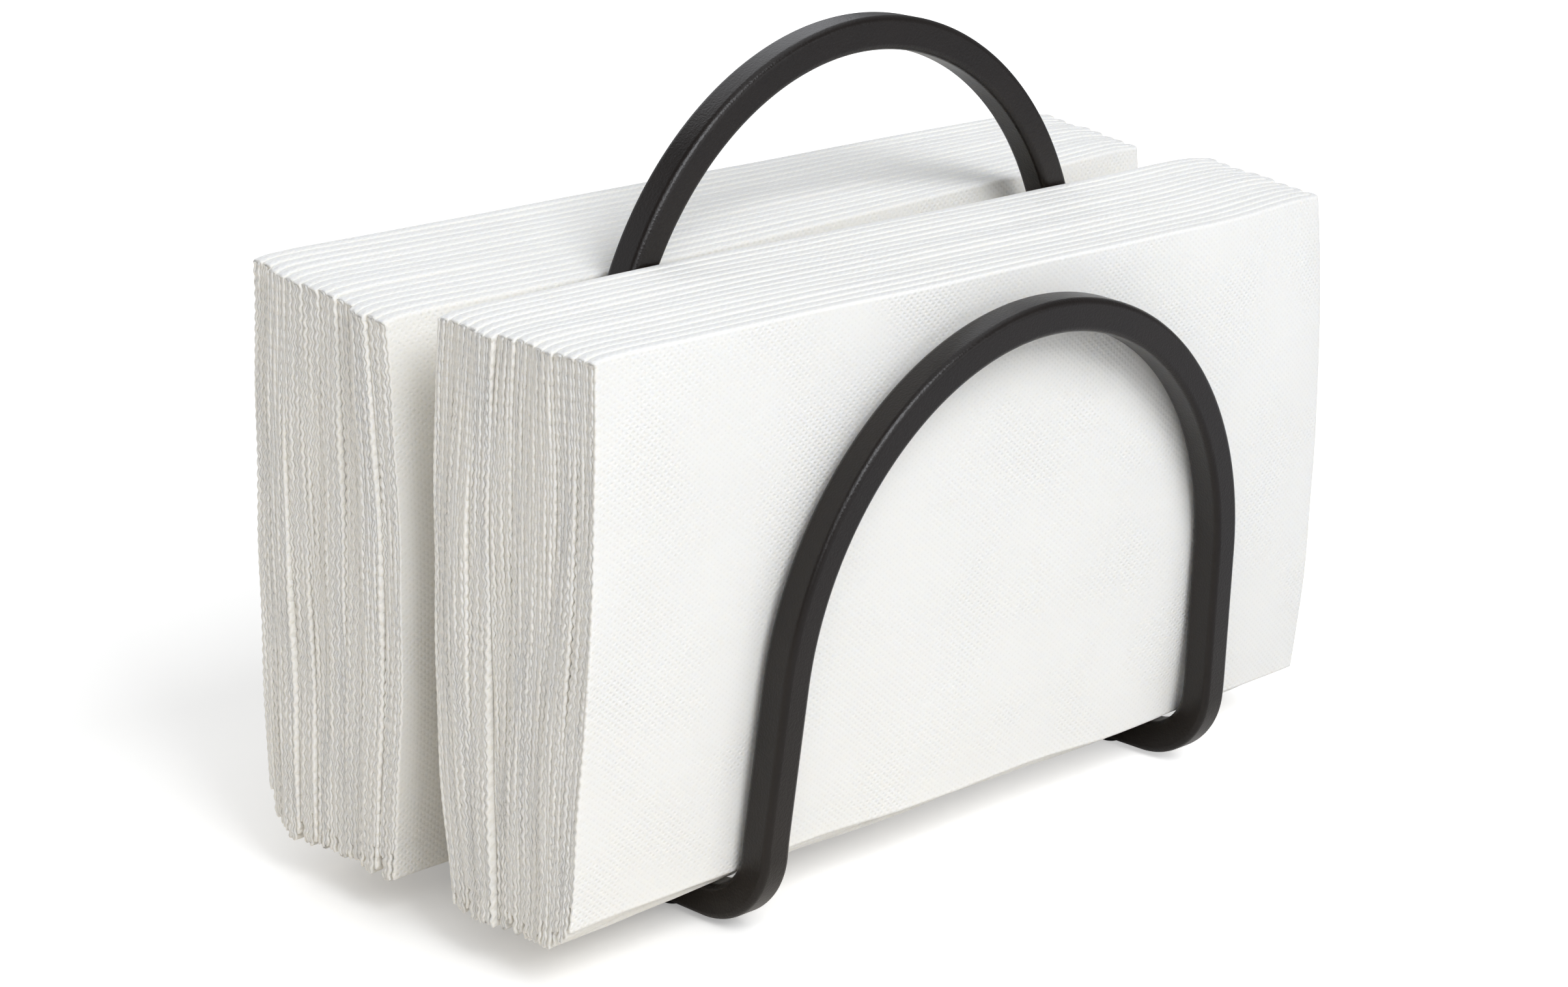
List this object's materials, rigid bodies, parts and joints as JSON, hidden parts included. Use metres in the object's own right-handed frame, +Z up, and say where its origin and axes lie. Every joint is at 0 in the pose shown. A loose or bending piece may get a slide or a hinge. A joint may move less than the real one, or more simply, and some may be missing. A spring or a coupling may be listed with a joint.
{
  "type": "napkin holder",
  "caption": "Black bent-bar table napkin holder with two low hoops and a tall carrying hoop, holding two upright stacks of folded white paper napkins.",
  "frame": {"origin": "on the table, below the middle of the tall hoop", "axes": "+X along the napkins to the right, +Y from the front stack to the rear stack, +Z up"},
  "size_m": [0.2031, 0.0936, 0.1414],
  "materials": {
    "bar": "satin",
    "weld": "satin",
    "pad": "matte",
    "napkin": "matte"
  },
  "bodies": {
    "frame": {"front_hoop": "bar", "rear_hoop": "bar", "tall_hoop": "bar", "left_weld": "weld", "right_weld": "weld", "front_left_pad": "pad", "front_right_pad": "pad", "rear_left_pad": "pad", "rear_right_pad": "pad"},
    "front_napkin_1": {"front_napkin_1": "napkin"},
    "front_napkin_2": {"front_napkin_2": "napkin"},
    "front_napkin_3": {"front_napkin_3": "napkin"},
    "front_napkin_4": {"front_napkin_4": "napkin"},
    "front_napkin_5": {"front_napkin_5": "napkin"},
    "front_napkin_6": {"front_napkin_6": "napkin"},
    "front_napkin_7": {"front_napkin_7": "napkin"},
    "front_napkin_8": {"front_napkin_8": "napkin"},
    "rear_napkin_1": {"rear_napkin_1": "napkin"},
    "rear_napkin_2": {"rear_napkin_2": "napkin"},
    "rear_napkin_3": {"rear_napkin_3": "napkin"},
    "rear_napkin_4": {"rear_napkin_4": "napkin"},
    "rear_napkin_5": {"rear_napkin_5": "napkin"},
    "rear_napkin_6": {"rear_napkin_6": "napkin"},
    "rear_napkin_7": {"rear_napkin_7": "napkin"},
    "rear_napkin_8": {"rear_napkin_8": "napkin"}
  },
  "joints": [
    {"name": "front_napkin_1_lift", "type": "slide", "parent": "frame", "child": "front_napkin_1", "axis": [0.0002, -0.0096, 1], "range_m": [0, 0.14]},
    {"name": "front_napkin_2_lift", "type": "slide", "parent": "frame", "child": "front_napkin_2", "axis": [0.0001, -0.0044, 1], "range_m": [0, 0.14]},
    {"name": "front_napkin_3_lift", "type": "slide", "parent": "frame", "child": "front_napkin_3", "axis": [0, 0.0009, 1], "range_m": [0, 0.14]},
    {"name": "front_napkin_4_lift", "type": "slide", "parent": "frame", "child": "front_napkin_4", "axis": [-0.0001, 0.0061, 1], "range_m": [0, 0.14]},
    {"name": "front_napkin_5_lift", "type": "slide", "parent": "frame", "child": "front_napkin_5", "axis": [-0.0001, 0.0113, 0.9999], "range_m": [0, 0.14]},
    {"name": "front_napkin_6_lift", "type": "slide", "parent": "frame", "child": "front_napkin_6", "axis": [-0.0001, 0.0166, 0.9999], "range_m": [0, 0.14]},
    {"name": "front_napkin_7_lift", "type": "slide", "parent": "frame", "child": "front_napkin_7", "axis": [-0.0001, 0.0218, 0.9998], "range_m": [0, 0.14]},
    {"name": "front_napkin_8_lift", "type": "slide", "parent": "frame", "child": "front_napkin_8", "axis": [0, 0.027, 0.9996], "range_m": [0, 0.14]},
    {"name": "rear_napkin_1_lift", "type": "slide", "parent": "frame", "child": "rear_napkin_1", "axis": [-0.0005, 0.026, 0.9997], "range_m": [0, 0.14]},
    {"name": "rear_napkin_2_lift", "type": "slide", "parent": "frame", "child": "rear_napkin_2", "axis": [-0.0004, 0.0274, 0.9996], "range_m": [0, 0.14]},
    {"name": "rear_napkin_3_lift", "type": "slide", "parent": "frame", "child": "rear_napkin_3", "axis": [-0.0003, 0.0288, 0.9996], "range_m": [0, 0.14]},
    {"name": "rear_napkin_4_lift", "type": "slide", "parent": "frame", "child": "rear_napkin_4", "axis": [-0.0002, 0.0303, 0.9995], "range_m": [0, 0.14]},
    {"name": "rear_napkin_5_lift", "type": "slide", "parent": "frame", "child": "rear_napkin_5", "axis": [-0.0001, 0.0317, 0.9995], "range_m": [0, 0.14]},
    {"name": "rear_napkin_6_lift", "type": "slide", "parent": "frame", "child": "rear_napkin_6", "axis": [0.0001, 0.0331, 0.9995], "range_m": [0, 0.14]},
    {"name": "rear_napkin_7_lift", "type": "slide", "parent": "frame", "child": "rear_napkin_7", "axis": [0.0002, 0.0345, 0.9994], "range_m": [0, 0.14]},
    {"name": "rear_napkin_8_lift", "type": "slide", "parent": "frame", "child": "rear_napkin_8", "axis": [0.0004, 0.0359, 0.9994], "range_m": [0, 0.14]}
  ]
}
